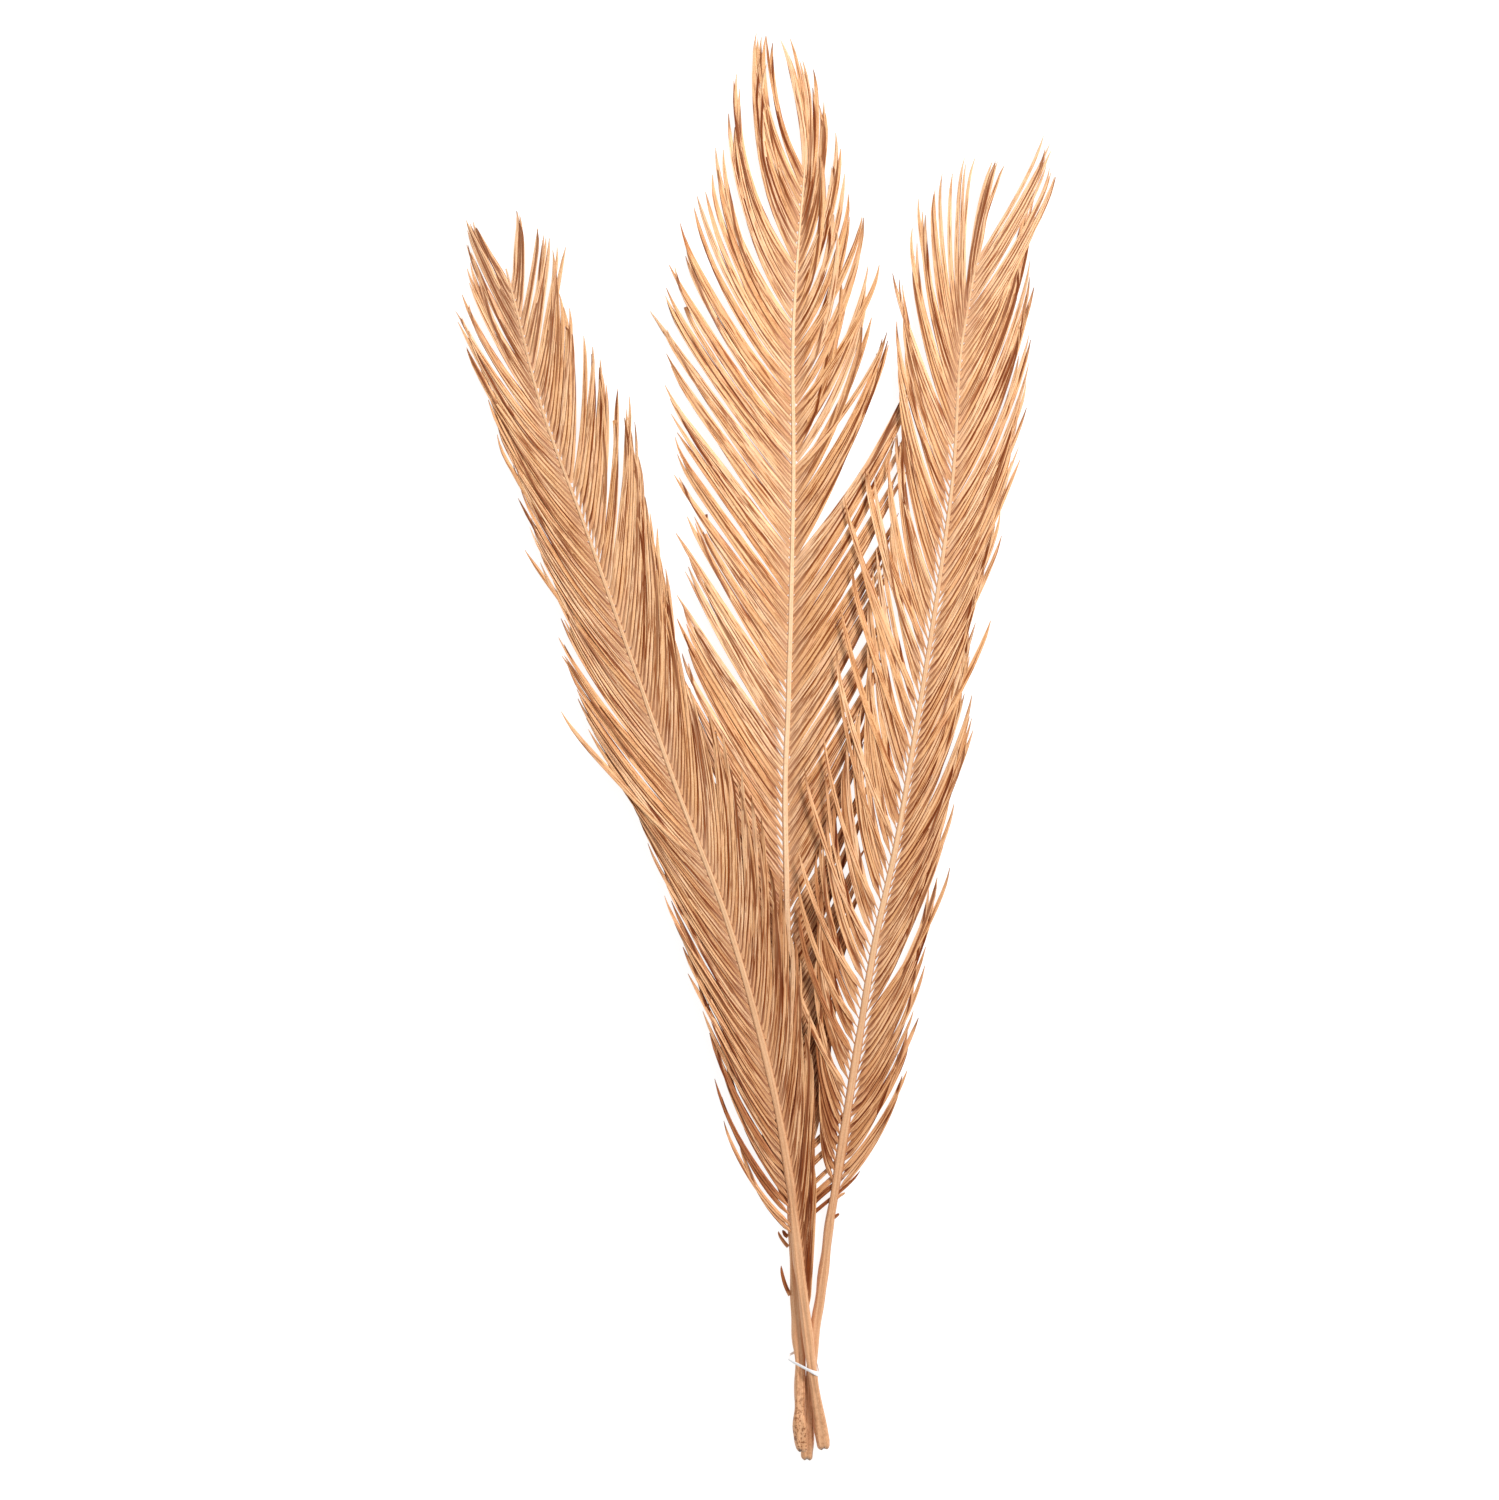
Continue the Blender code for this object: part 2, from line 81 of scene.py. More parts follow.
ROWS = {
    ("left", LEFT): dict(
        seed=3, first=0.149, count=110, rise=0.02, droop=4.0, width=4.2,
        base=((0, 42), (0.04, 36), (0.1, 25), (0.3, 22), (0.8, 25), (1, 14)),
        tip=((0, 9), (0.1, 13), (0.3, 12), (0.6, 10), (0.8, 5), (0.9, 9), (1, 14)),
        length=((0, 68), (0.014, 90), (0.03, 106), (0.1, 112), (0.2, 128), (0.3, 146), (0.45, 134),
                (0.65, 134), (0.78, 128), (0.85, 109), (0.92, 97), (0.96, 84), (1, 46)),
        splits=((0.014, 8, 0.008), (0.04, 8, 0.01), (0.075, 6, 0.008), (0.42, 5, 0.02), (0.835, 6, 0.012),
                (0.865, 7, 0.012), (0.9, 5, 0.01), (0.925, 7, 0.012), (0.955, 5, 0.008), (0.975, 6, 0.008)),
        open=((0, 0.12, 0.4), (0.2, 0.26, 0.6)), broken=(24, 60), strays=((0.39, 5, 1.05),), stubs=(),
    ),
    ("left", RIGHT): dict(
        seed=4, first=0.095, count=117, rise=0.04, droop=0.8, width=4.2,
        base=((0, 10), (0.1, 15), (0.2, 21), (0.5, 23), (0.8, 29), (1, 24)),
        tip=((0, 8), (0.4, 9), (0.5, 11), (0.7, 20), (0.9, 22), (1, 16)),
        length=((0, 95), (0.1, 122), (0.3, 135), (0.5, 135), (0.6, 140), (0.67, 146), (0.73, 125), (0.8, 110),
                (0.9, 100), (1, 52)),
        splits=((0.7, 4, 0.01), (0.8, 8, 0.02), (0.85, 3, 0.01), (0.915, 9, 0.02), (0.945, 5, 0.01),
                (0.97, 6, 0.008)),
        open=((0, 0.14, 0.5), (0.73, 0.8, 0.4), (0.82, 0.9, 0.55)), broken=(30, 71, 84, 98),
        strays=(), stubs=(),
    ),
    ("middle", LEFT): dict(
        seed=5, first=0.150, count=112, rise=0.10, droop=1.5, width=4.9,
        base=((0, 24), (0.2, 34), (0.5, 36), (0.8, 42), (0.92, 37), (1, 32)),
        tip=((0, 5), (0.2, 21), (0.4, 28), (0.6, 35), (0.7, 34), (0.8, 20), (0.88, 6), (0.93, 4), (1, 10)),
        length=((0, 60), (0.15, 105), (0.4, 138), (0.47, 138), (0.52, 128), (0.6, 142), (0.7, 158),
                (0.76, 146), (0.82, 138), (0.9, 146), (0.94, 138), (1, 96)),
        splits=((0.375, 2.5, 0.01), (0.415, 3, 0.01), (0.455, 3.5, 0.01), (0.505, 5, 0.014), (0.565, 2, 0.01),
                (0.595, 3, 0.01), (0.645, 6, 0.012), (0.67, 2, 0.01), (0.7, 4, 0.01), (0.75, 6, 0.01),
                (0.765, 3, 0.01), (0.782, 6, 0.01), (0.805, 4, 0.008), (0.82, 4, 0.008), (0.835, 3, 0.008),
                (0.855, 9, 0.014), (0.885, 3, 0.01), (0.91, 14, 0.014), (0.95, 5, 0.008), (0.98, 7, 0.008)),
        open=((0.34, 0.52, 0.5),), broken=(49, 53, 55, 60, 61, 81), strays=(),
        stubs=((0.109, 22, 14), (0.143, 13, 32), (0.150, 6, 40)),
    ),
    ("middle", RIGHT): dict(
        seed=6, first=0.150, count=112, rise=0.10, droop=1.5, width=4.7,
        base=((0, 23), (0.2, 31), (0.6, 34), (0.7, 38), (0.8, 38), (0.9, 24), (0.95, 12), (1, -3)),
        tip=((0, 8), (0.2, 23), (0.4, 28), (0.6, 25), (0.8, 11), (0.9, 1), (0.95, -9), (1, -28)),
        length=((0, 60), (0.15, 105), (0.4, 130), (0.55, 146), (0.64, 158), (0.68, 130), (0.73, 124),
                (0.82, 122), (0.9, 104), (0.95, 108), (1, 98)),
        splits=((0.3, 9, 0.012), (0.345, 4, 0.01), (0.4, 5, 0.01), (0.585, 6, 0.012), (0.635, 16, 0.02),
                (0.695, 9, 0.012), (0.805, 9, 0.014), (0.84, 4, 0.01), (0.86, 4, 0.01), (0.905, 4, 0.008),
                (0.935, 5, 0.008), (0.955, 5, 0.006), (0.972, 6, 0.006), (0.99, 5, 0.006)),
        open=((0.26, 0.31, 0.5),), broken=(85, 94, 97),
        strays=((0.0, 42, 1.0), (0.01, 38, 0.9), (0.02, 40, 1.0), (0.035, 36, 0.9), (0.05, 34, 0.9),
                (0.065, 32, 0.9), (0.69, -9, 1.0), (0.72, 12, 0.9), (0.74, -8, 1.0), (0.77, 9, 0.95),
                (0.79, -8, 1.0), (0.83, 9, 0.9), (0.86, -8, 1.05), (0.9, 7, 0.8)),
        stubs=(),
    ),
    ("right", LEFT): dict(
        seed=7, first=0.193, count=103, rise=0.06, droop=1.0, width=4.0,
        base=((0, 36), (0.2, 38), (0.4, 29), (0.5, 27), (0.75, 32), (0.9, 20), (1, 2)),
        tip=((0, 4), (0.2, 12), (0.4, 12), (0.5, 16), (0.63, 14), (0.7, 17), (0.8, 14), (0.9, 4), (1, -5)),
        length=((0, 60), (0.1, 110), (0.3, 132), (0.57, 130), (0.65, 122), (0.77, 130), (0.87, 130),
                (0.93, 116), (1, 68)),
        splits=((0.33, 5, 0.01), (0.36, 4, 0.01), (0.405, 6, 0.01), (0.64, 7, 0.02), (0.72, 6, 0.01),
                (0.745, 4, 0.01), (0.765, 4, 0.01), (0.81, 4, 0.01), (0.84, 4, 0.01), (0.87, 3, 0.01),
                (0.89, 3, 0.01), (0.945, 10, 0.02)),
        open=((0, 0.45, 0.22), (0.45, 0.8, 0.32)), broken=(40, 78),
        strays=((0.1, 14, 1.0), (0.14, 10, 1.0), (0.17, 12, 1.0), (0.21, 15, 0.95), (0.26, 10, 1.05),
                (0.3, 14, 1.0), (0.34, 9, 1.05), (0.37, 12, 1.05), (0.42, 13, 1.1), (0.47, 9, 1.1),
                (0.5, 8, 1.1), (0.52, 9, 1.15), (0.55, 6, 1.15), (0.56, 9, 1.1), (0.58, 8, 1.1)),
        stubs=(),
    ),
    ("right", RIGHT): dict(
        seed=8, first=0.175, count=108, rise=0.02, droop=3.0, width=4.1,
        base=((0, 38), (0.08, 33), (0.2, 28), (0.4, 23), (0.7, 27), (0.9, 30), (1, 22)),
        tip=((0, 17), (0.08, 12), (0.15, 8), (0.4, 4), (0.6, 10), (0.8, 10), (0.9, 14), (1, 14)),
        length=((0, 80), (0.1, 95), (0.17, 125), (0.32, 128), (0.45, 115), (0.52, 112), (0.6, 130),
                (0.75, 136), (0.83, 146), (0.9, 132), (1, 98)),
        splits=((0.05, 8, 0.01), (0.12, 4, 0.008), (0.2, 6, 0.012), (0.34, 4, 0.01), (0.37, 4, 0.01),
                (0.4, 4, 0.01), (0.69, 3, 0.01), (0.94, 4, 0.012)),
        open=((0, 0.4, 0.24), (0.4, 0.65, 0.36)), broken=(30,), strays=((0.47, 6, 1.05),),
        stubs=((0.171, 5, 45), (0.185, 7, 48)),
    ),
}
# The rows end just before the stem does.
ROW_END_SHARE = 0.985

# Leaflets hang together in clumps: from how many up to how many, how far a clump leans (degrees), how much
# of that lean its bases have, and how far it closes for each leaflet.
CLUMP_SIZES = (2, 6)
CLUMP_LEAN = 1.2
LEAN_AT_BASE = 0.4
CLUMP_CLOSING = 0.35

# How much leaflets vary (standard deviations): where they grow, the angles at base and tip (degrees), the
# shares of length, width, neck and arch, the tilt and the twist (degrees), and the height at the tip
# (millimetres).
PLACE_VARIES = 0.3 * MM
BASE_VARIES, TIP_VARIES = 0.6, 1.6
LENGTH_VARIES, WIDTH_VARIES, NECK_VARIES, ARCH_VARIES = 0.03, 0.09, 0.08, 0.4
TILT_VARIES, TWIST_VARIES = 2.5, 14
HEIGHT_VARIES = 0.10

# Splits and strays turn a leaflet's base and tip by these shares of their angles. A stray lies higher (mm),
# a broken leaflet keeps this share of its length, and a stub is thin and bends by these degrees at its base
# and its end.
SPLIT_AT_BASE, SPLIT_AT_TIP = 0.8, 0.7
STRAY_AT_BASE = 0.6
STRAY_RISE = 1.2
BROKEN_SHARE = 0.82
STUB_WIDTH = 0.75
STUB_BENDS = (14, -10)

# A leaflet's line: how fast its angle goes from the base's to the tip's, the hook at the end (mean and
# deviation, in degrees, from this share on), and a slight sway (how far, how many radians, and from which
# share at its full).
LINE_POINTS = 61
BASE_CURL = 1.3
HOOK, HOOK_FROM = (-7, 5), 0.75
SWAY, SWAY_RUN, SWAY_FROM = 0.25 * MM, (5, 11), 0.25
# It grows from the stem's flank, this many stem radii outwards and up from the centre.
ROOT_OUT, ROOT_UP = 0.55, 0.25
# Neighbours rise and fall together in waves: how many leaflets they span, and how high they are (mm).
WAVE_SPAN, WAVE_HEIGHT = 5, 0.5
# Leaflets' lines and surfaces stay this far above the floor.
LOWEST_LINE = 1.0 * MM
FLOOR_GAP = 0.3 * MM

# A leaflet's section, from its lower edge over the top to its upper edge and back below: place across the
# blade in half widths, and height in millimetres. The blade is folded along its middle and its edges are
# rolled.
BLADE_SECTION = (
    (-1.0, -0.10), (-0.90, 0.10), (-0.72, 0.06), (-0.36, 0.10), (-0.10, 0.15), (0.0, 0.24), (0.10, 0.15),
    (0.36, 0.07), (0.72, 0.02), (1.0, -0.05), (0.75, -0.20), (0.2, -0.12), (0.0, -0.20), (-0.2, -0.12),
    (-0.75, -0.16),
)
# Both edges also bend down by this much.
BLADE_ARCH = -0.15 * MM
# Where the blade's rings are, and its width and thickness at shares of its length. A broken leaflet stays
# wide up to its end, and a narrowed base is at its full width again where the neck's stretch ends.
BLADE_RINGS = (0, 0.015, 0.035, 0.06, 0.10, 0.16, 0.24, 0.33, 0.42, 0.51, 0.60, 0.69, 0.77, 0.84, 0.90, 0.945,
               0.98, 1.0)
BLADE_WIDTHS = ((0.09, 1.0), (0.3, 1.0), (0.5, 0.92), (0.75, 0.80), (0.9, 0.56), (1, 0.10))
BLADE_THICKNESS = ((0, 1.2), (0.1, 1.0), (0.8, 0.8), (1, 0.25))
BROKEN_WIDTHS = ((0.9, 0.9), (1, 0.72))
NECK_STRETCH = ((0.03, 1), (0.10, 0))
# How wide the leaflets are at shares of the row, against the row's width.
ROW_WIDTHS = ((0, 0.75), (0.05, 1), (0.85, 1), (1, 0.75))
# A blade's lower edge is raised by this many degrees, so that it lies over the leaflet before it. The tilt
# grows along the leaflet's first part, and the leaflets at the frond's tip lie almost flat.
SHINGLE_TILT = 9.0
TILT_ALONG = ((0.03, 0.15), (0.22, 1))
TILT_IN_ROW = ((0.86, 1), (0.95, 0.1))
# Nothing lies over a row's last leaflet: it counts as this far from the next. A higher power of the random
# number makes the painted shade in the grooves rarer.
UNCOVERED = 20 * MM
GROOVE_POWER = 1.4
# These fronds have paler leaflets with fainter painted groove shade at their tips: from where to where, and
# how much.
PALE_TOPS = ("left", "right")
PALE_FROM, PALE_TONE, PALE_GROOVE = ((0.82, 0), (0.93, 1)), 0.85, 0.7
# The leaflets' strips lie in this many columns in a row's map.
LEAFLET_MAP_COLUMNS = 3

# ---------------------------------------------------------------- the stems and the band
# Stem widths against the CAD's round stems, at distances from the cut end in metres.
STEM_WIDTHS = {
    "left": ((0, 0.96), (0.006, 1.08), (0.014, 1.04), (0.028, 0.86), (0.045, 0.80), (0.06, 0.90),
             (0.12, 0.92), (0.2, 0.80), (0.3, 0.82), (0.9, 0.95)),
    "middle": ((0, 0.80), (0.006, 0.88), (0.02, 0.86), (0.045, 0.88), (0.06, 1.0), (0.12, 1.0), (0.2, 0.85),
               (0.3, 0.86), (0.9, 1.0)),
    "right": ((0, 0.78), (0.008, 0.92), (0.02, 0.84), (0.04, 0.80), (0.07, 0.92), (0.14, 0.92), (0.2, 1.02),
              (0.32, 1.02), (0.45, 0.95), (0.9, 0.95)),
}
# How far to the right of the CAD's the middle stem lies (mm) at such distances, so that it touches the left
# one.
MIDDLE_STEM_NUDGE = ((0, 0.3), (0.03, 1.0), (0.06, 1.9), (0.16, 1.8), (0.25, 0))
# How knobbly the stems are at these distances, and how many rings and places around a knot takes and is
# smoothed over.
ROUGHNESS_AT = (0, 0.04, 0.12, 0.2, 0.4)
STEM_ROUGHNESS = {"left": (0.10, 0.05, 0.12, 0.10, 0.03), "middle": (0.30, 0.16, 0.12, 0.10, 0.03),
                  "right": (0.10, 0.06, 0.10, 0.10, 0.03)}
KNOT_RINGS, KNOT_PLACES = 6, 4
KNOT_BLUR_RINGS, KNOT_BLUR_PLACES = 4, 2
KNOT_HEIGHT = 2.5
# How scaly the stalk's cut end looks, and how much of the midrib's paint is worn off.
STEM_PAINT = {"left": (0.25, 0.75), "middle": (0.9, 0.15), "right": (0.25, 0.65)}

STEM_SEEDS = {"left": 11, "middle": 12, "right": 13}
STEM_RINGS, STEM_PLACES = 420, 32
# The rings stand closer together near the cut end.
RING_CROWDING = 1.25
# From the stalk to the midrib: where the change starts, and over what distance.
LEAFY_FROM, LEAFY_OVER = 0.12, 0.1
# The groove on top and the ridges beside it: depth or height in radii, half width and place in radians from
# the top.
GROOVE_DEPTH, GROOVE_SPREAD = 0.18, 0.26
RIDGE_HEIGHT, RIDGE_SPREAD, RIDGE_AT = 0.10, 0.25, 0.62
# The midrib's groove is this much shallower and the midrib this much flatter, and no stem is quite round.
MIDRIB_FILLED, MIDRIB_FLATTER = 0.5, 0.15
STEM_VARIES = 0.02
# The cut end is rounded over this distance, slants by up to this much and has splinters, and its brown stain
# fades over the last of these distances.
END_OVER, END_ROUNDING = 3.0 * MM, 0.72
END_SLANT, SLANT_OVER = 1.1 * MM, 4 * MM
SPLINTERS, SPLINTERS_OVER, DEEPEST_TEAR = 0.5 * MM, 3 * MM, -0.5 * MM
CUT_STAIN = 0.6 * MM
# Stems stay this far above the floor.
STEM_FLOOR_GAP = 0.15 * MM

# The band: where it crosses the stems and how it slopes, half its width on average and how much that changes
# around it (mm), its section's middle and half thickness (mm), how far it stands off the stems, and how much
# higher up the bunch its back lies (mm).
TIE_AT_Y = -432.5 * MM
TIE_SLOPE = -0.45
TIE_HALF_WIDTH, TIE_WIDTH_CHANGE = 1.3, 0.5
TIE_SECTION_SHIFT, TIE_HALF_THICKNESS = 0.1, 0.35
TIE_OFF_STEM, TIE_RADIUS_SHARE = 0.4 * MM, 1.02
TIE_BACK_UP, TIE_BACK_FROM, TIE_BACK_POWER = 7, 0.12, 0.7
# Its slack loop: how far it stands out, at which angle and over what angle.
TIE_SLACK, TIE_SLACK_AT, TIE_SLACK_OVER = 1.6 * MM, math.pi * 1.08, 0.45
TIE_RINGS, TIE_PLACES = 96, 12
# Edges that turn by more than this (degrees) are shaded sharp.
SHARP_FROM = 55

# ---------------------------------------------------------------- colours, light and camera
# Colours are linear. The tones run from dark to light, each at its share of the noise.
LEAFLET_TONES = ((0.36, (0.52, 0.19, 0.06)), (0.50, (0.77, 0.40, 0.175)), (0.66, (0.88, 0.53, 0.285)),
                 (0.92, (0.96, 0.70, 0.49)))
STALK_TONES = ((0.25, (0.48, 0.20, 0.085)), (0.45, (0.70, 0.36, 0.18)), (0.72, (0.87, 0.54, 0.32)))
RIB_TONES = ((0.25, (0.80, 0.47, 0.25)), (0.50, (0.95, 0.64, 0.39)), (0.75, (0.99, 0.75, 0.52)))
ROSY_PAINT = (0.78, 0.37, 0.20)
STREAK_SHADE_BROWN = (0.27, 0.06, 0.006)
GROOVE_SHADE_BROWN = (0.18, 0.035, 0.003)
FOLD_SHADE_BROWN = (0.30, 0.075, 0.012)
TIP_BROWN = (0.30, 0.11, 0.035)
BASE_TAN = (0.58, 0.31, 0.18)
WORN_RIB = (0.62, 0.33, 0.16)
BLOT_BROWN = (0.66, 0.32, 0.16)
LINE_BROWN = (0.34, 0.12, 0.04)
FLANK_SHADE_BROWN = (0.48, 0.20, 0.085)
RIB_GROOVE_SHADE = (0.60, 0.36, 0.21)
SCALE_BROWN = (0.26, 0.09, 0.03)
CUT_BROWN = (0.30, 0.22, 0.17)
BAND_SHADE, BAND_WHITE = (0.80, 0.80, 0.82), (0.95, 0.95, 0.95)
# Colours that others are multiplied by: for painted shade near the stalk, where paint is worn, and where
# leaflets are much darker, partly painted shade and partly missing paint.
LOW_SHADE_DIM, WORN_DIM, UNPAINTED_AND_SHADE_DIM = (0.84, 0.72, 0.62), (0.80, 0.66, 0.55), (0.50, 0.31, 0.20)
METALLIC = 0.12
# How far apart the noise patterns of neighbouring leaflets and of two rows lie.
PATTERN_STEP, ROW_PATTERN_STEP = 7.3, 3.1
# Painted shade on the leaflets near the stalk: how strong at shares of the row.
LOW_IN_ROW = ((0, 1), (0.4, 0))

FLOOR_REACH = 6.0
FLOOR_DARKER, FLOOR_LIGHTER = (0.30, 0.30, 0.30), (0.32, 0.32, 0.32)
FLOOR_GLOW = 0.86
SKY_STRENGTH = 0.58
KEY_PLACE, KEY_SIZE, KEY_ENERGY = (1.3, 1.4, 2.0), 0.7, 71
# The camera looks down from far above, and the picture is this wide (m) at the height of the fronds.
PICTURE_WIDTH = 1.0493
CAMERA_HEIGHT = 4.0
PICTURE_PLANE = 10 * MM
SENSOR_WIDTH = 36
# The stretch at the CAD stem's cut end that is measured to find where the frame lies.
BUTT_LENGTH = 3 * MM


# ---------------------------------------------------------------- shapes
def smooth_curve(rows):
    """Points on the Catmull-Rom curve through the rows, and the distance run to each."""
    rows = np.array(rows, float)
    rows = np.vstack([2 * rows[0] - rows[1], rows, 2 * rows[-1] - rows[-2]])
    found = []
    for before, start, end, after in zip(rows, rows[1:], rows[2:], rows[3:]):
        for u in np.linspace(0, 1, CURVE_STEPS, endpoint=False):
            found.append(0.5 * (2 * start + (end - before) * u
                                + (2 * before - 5 * start + 4 * end - after) * u ** 2
                                + (3 * start - before - 3 * end + after) * u ** 3))
    found.append(rows[-2])
    found = np.array(found)
    run = np.concatenate([[0], np.cumsum(np.linalg.norm(np.diff(found[:, :3], axis=0), axis=1))])
    return run, found


class Stem:
    """A frond's stem: where its centre, direction and radius are at a distance from the cut end."""

    def __init__(self, rows):
        self.run, self.curve = smooth_curve(np.array(rows) * MM)
        self.length = self.run[-1]

    def at(self, distance):
        distance = np.clip(distance, 0, self.length)
        return np.stack([np.interp(distance, self.run, self.curve[:, k]) for k in range(3)], axis=-1)

    def radius(self, distance):
        return np.interp(distance, self.run, self.curve[:, 3])

    def heading(self, distance):
        """The level direction in which the stem grows there."""
        way = (self.at(distance + HEADING_REACH) - self.at(distance - HEADING_REACH))[..., :2]
        return way / np.linalg.norm(way, axis=-1, keepdims=True)


def profile(pairs, share):
    shares, values = zip(*pairs)
    return np.interp(share, shares, values)


def unit(vectors):
    return vectors / np.linalg.norm(vectors, axis=-1, keepdims=True)


def path_directions(path):
    """The directions along a path, level to the right of its course, and upwards, square to both."""
    along = unit(np.gradient(path, axis=-2))
    right = unit(np.stack([along[..., 1], -along[..., 0], 0 * along[..., 0]], axis=-1))
    return along, right, np.cross(right, along)


def tube_faces(rings, around, flip):
    """A closed tube's faces, first its wall's and then each end's, with each corner's place in its map
    strip. The points are numbered ring by ring, and the middles of the two ends come last."""
    ring, place = np.meshgrid(np.arange(rings - 1), np.arange(around), indexing="ij")
    following = (place + 1) % around
    wall = np.stack([ring * around + place, ring * around + following, (ring + 1) * around + following,
                     (ring + 1) * around + place], axis=-1).reshape(-1, 4)
    wall_map = [np.stack([ring + a, place + b], axis=-1) for a, b in ((0, 0), (0, 1), (1, 1), (1, 0))]
    wall_map = np.stack(wall_map, axis=2).reshape(-1, 4, 2)
    spots = np.arange(around)
    first, last = 0 * spots, 0 * spots + rings - 1
    start = np.stack([(spots + 1) % around, spots, first + rings * around], axis=-1)
    start_map = np.stack([np.stack([first, spots + 1], -1), np.stack([first, spots], -1),
                          np.stack([first - 0.5, spots + 0.5], -1)], axis=1)
    end = (rings - 1) * around
    finish = np.stack([end + spots, end + (spots + 1) % around, first + rings * around + 1], axis=-1)
    finish_map = np.stack([np.stack([last, spots], -1), np.stack([last, spots + 1], -1),
                           np.stack([last + 0.5, spots + 0.5], -1)], axis=1)
    groups = [(wall, wall_map), (start, start_map), (finish, finish_map)]
    if flip:
        groups = [(faces[:, ::-1], places[:, ::-1]) for faces, places in groups]
    return groups


def add_lofts(name, points, values, flip, map_columns):
    """Closed tubes as one mesh. points is tubes x rings x places around x 3, and values holds a named number
    for each of those points. flip turns the faces over, for tubes whose places run the other way round. Each
    tube has its own strip in the map."""
    tubes, rings, around = points.shape[:3]
    ends = points[:, [0, -1]].mean(axis=2)
    verts = np.concatenate([points.reshape(tubes, -1, 3), ends], axis=1)
    groups = tube_faces(rings, around, flip)
    faces, places = [], []
    map_rows = math.ceil(tubes / map_columns)
    for tube in range(tubes):
        cell = np.array([tube % map_columns, tube // map_columns])
        for numbers, strip in groups:
            faces += (numbers + tube * verts.shape[1]).tolist()
            # half a step of the map stays free all round each strip
            share = (strip.reshape(-1, 2) + (1.0, 0.5)) / (rings + 1.0, around + 1.0)
            places.append((cell + share) / (map_columns, map_rows))
    mesh = bpy.data.meshes.new(name)
    mesh.from_pydata(verts.reshape(-1, 3).tolist(), [], faces)
    places = np.concatenate(places).astype(np.float32)
    mesh.uv_layers.new(name="OFBake").uv.foreach_set("vector", places.ravel())
    for key, value in values.items():
        value = np.broadcast_to(value, points.shape[:3])
        full = np.concatenate([value.reshape(tubes, -1), value[:, [0, -1]].mean(axis=2)], axis=1)
        layer = mesh.attributes.new(key, "FLOAT", "POINT")
        layer.data.foreach_set("value", full.astype(np.float32).ravel())
    mesh.shade_smooth()
    mesh.set_sharp_from_angle(angle=math.radians(SHARP_FROM))
    piece = bpy.data.objects.new(name, mesh)
    bpy.context.scene.collection.objects.link(piece)
    return piece


# ---------------------------------------------------------------- leaflets
def clump_leans(count, rng):
    """How far each leaflet's clump leans, and the leaflet's place in its clump, counted from the middle."""
    lean, within = np.zeros(count), np.zeros(count)
    first = 0
    while first < count:
        size = int(rng.integers(*CLUMP_SIZES))
        lean[first:first + size] = rng.normal(0, CLUMP_LEAN)
        within[first:first + size] = (np.arange(size) - (size - 1) / 2)[:count - first]
        first += size
    return lean, within


def leaflet_growth(row, stem, share, rng):
    """For each leaflet: its distance from the cut end, the angles at its base and tip, and its length."""
    count = row["count"]
    distance = row["first"] + share * (stem.length * ROW_END_SHARE - row["first"])
    distance = distance + PLACE_VARIES * rng.normal(0, 1, count)
    lean, within = clump_leans(count, rng)
    base = profile(row["base"], share) + LEAN_AT_BASE * lean + BASE_VARIES * rng.normal(0, 1, count)
    tip = profile(row["tip"], share) + lean + CLUMP_CLOSING * within + TIP_VARIES * rng.normal(0, 1, count)
    length = profile(row["length"], share) * MM * (1 + LENGTH_VARIES * rng.normal(0, 1, count))
    for place, opening, reach in row["splits"]:
        turn = np.sign(place - share) * opening / 2 * np.exp(-np.abs(share - place) / reach)
        base += SPLIT_AT_BASE * turn
        tip += SPLIT_AT_TIP * turn
    for place, extra, longer in row["strays"]:
        chosen = int(place * count)
        base[chosen] += STRAY_AT_BASE * extra
        tip[chosen] += extra
        length[chosen] *= longer
    length[list(row["broken"])] *= BROKEN_SHARE
    for k, (place, left_over, angle) in enumerate(row["stubs"]):
        distance[k], length[k] = place, left_over * MM
        base[k], tip[k] = angle + STUB_BENDS[0], angle + STUB_BENDS[1]
    return distance, base, tip, length


